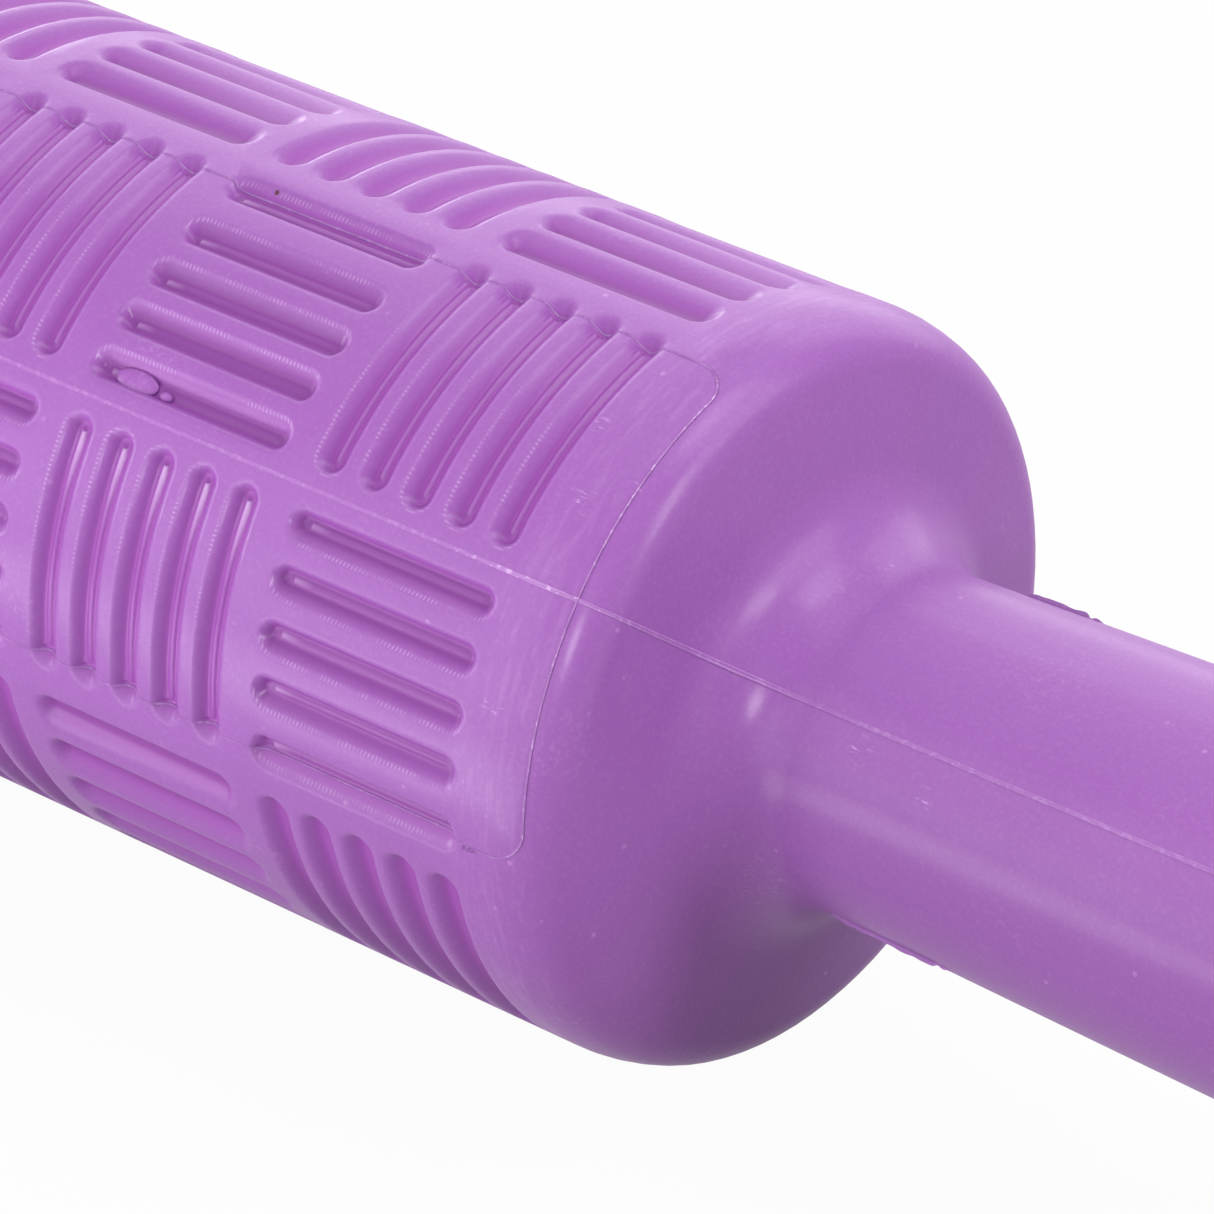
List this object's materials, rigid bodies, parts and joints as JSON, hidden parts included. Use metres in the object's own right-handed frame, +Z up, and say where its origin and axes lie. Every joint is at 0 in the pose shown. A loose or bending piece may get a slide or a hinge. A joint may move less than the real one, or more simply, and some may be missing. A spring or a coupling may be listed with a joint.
{
  "type": "embossing roller",
  "caption": "Hand roller in soft purple plastic, with a basket weave sunk into its drum and a fixed round handle at each end, for pressing a texture into clay or dough",
  "frame": {"origin": "middle of the roller, on its axis", "axes": "+X along the roller's axis towards the right-hand handle, +Z up with the roller lying on its drum, -Y towards the user"},
  "size_m": [0.2256, 0.0498, 0.0498],
  "materials": {
    "shell_plastic": "satin soft polyethylene, purple through and through, with mould seam beads and fine scuffs",
    "plug_plastic": "satin injection-moulded polyethylene in the same purple"
  },
  "bodies": {
    "root": {"roller_shell": "shell_plastic", "right_end_plug": "plug_plastic", "left_end_plug": "plug_plastic"}
  },
  "joints": []
}
